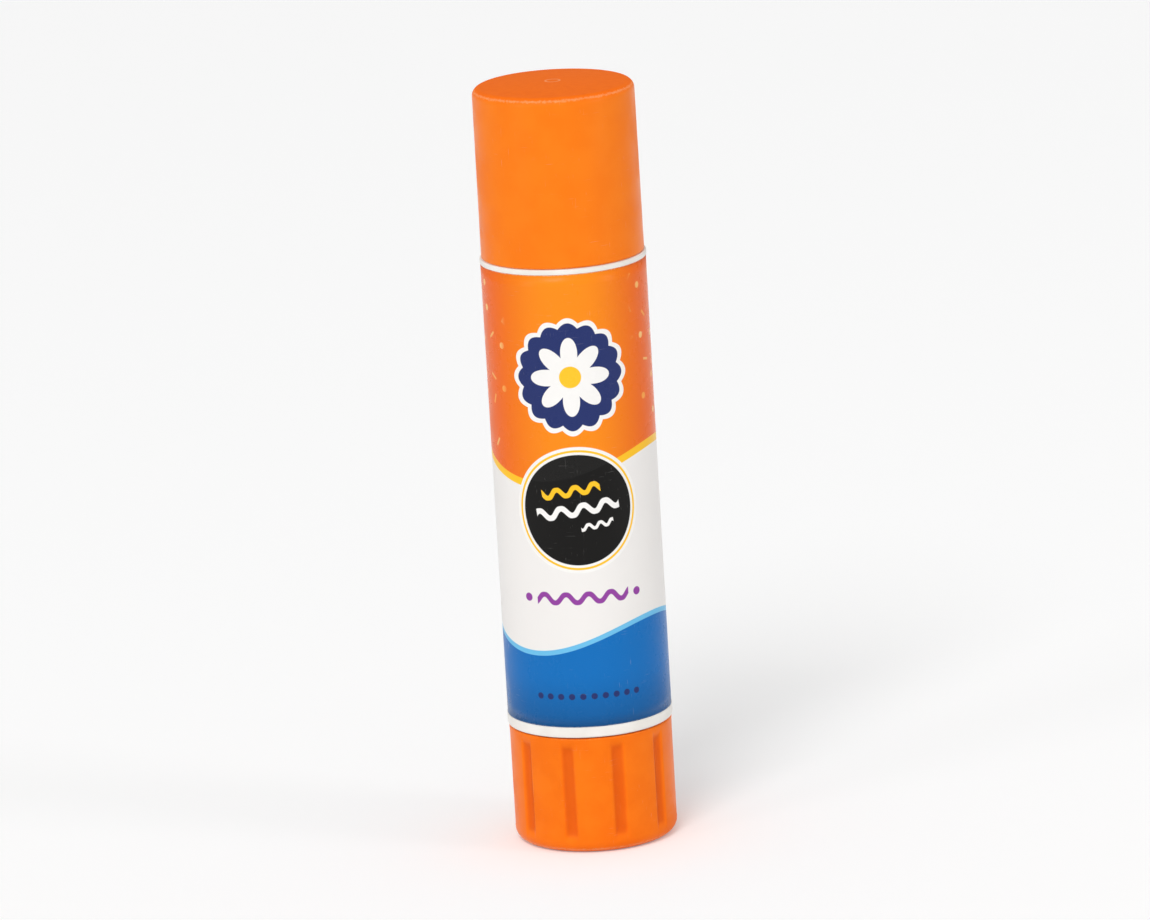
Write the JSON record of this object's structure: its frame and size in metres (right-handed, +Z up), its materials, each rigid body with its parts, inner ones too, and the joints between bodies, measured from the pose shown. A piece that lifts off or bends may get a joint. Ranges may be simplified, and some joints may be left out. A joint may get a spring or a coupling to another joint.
{
  "type": "glue stick",
  "caption": "Round push-up glue stick with a pull-off cap, a printed wrap label and a lobed turning base that winds the glue out on a screw.",
  "frame": {"origin": "on the stick's axis, at the bottom of the turning base", "axes": "+Z up the stick's axis towards the cap, -Y out of the front of the label, +X to the right of someone who looks at the front"},
  "size_m": [0.0258, 0.0258, 0.12],
  "materials": {
    "cap_plastic": "moulded orange polypropylene, satin gloss",
    "barrel_plastic": "moulded white polypropylene, satin gloss",
    "label_film": "printed glossy film in orange, white and blue",
    "knob_plastic": "moulded orange polypropylene, satin gloss",
    "spindle_plastic": "moulded natural white polypropylene",
    "carrier_plastic": "moulded natural white polypropylene",
    "glue_paste": "waxy purple glue, slightly translucent"
  },
  "bodies": {
    "barrel": {"barrel": "barrel_plastic", "label": "label_film"},
    "knob": {"knob": "knob_plastic", "spindle": "spindle_plastic"},
    "carrier": {"carrier": "carrier_plastic", "glue": "glue_paste"},
    "cap": {"cap": "cap_plastic"}
  },
  "joints": [
    {"name": "knob_turn", "type": "hinge", "parent": "barrel", "child": "knob", "pos_m": [0, 0, 0], "axis": [0, 0, 1], "range_deg": [0, 7200]},
    {"name": "carrier_lift", "type": "slide", "parent": "barrel", "child": "carrier", "axis": [0, 0, 1], "range_m": [0, 0.08]},
    {"name": "cap_pull", "type": "slide", "parent": "carrier", "child": "cap", "axis": [0, 0, 1], "range_m": [0, 0.035]}
  ],
  "couplings": [
    {"joint": "knob_turn", "follows": "carrier_lift", "rad_per_m": 1570.8}
  ]
}
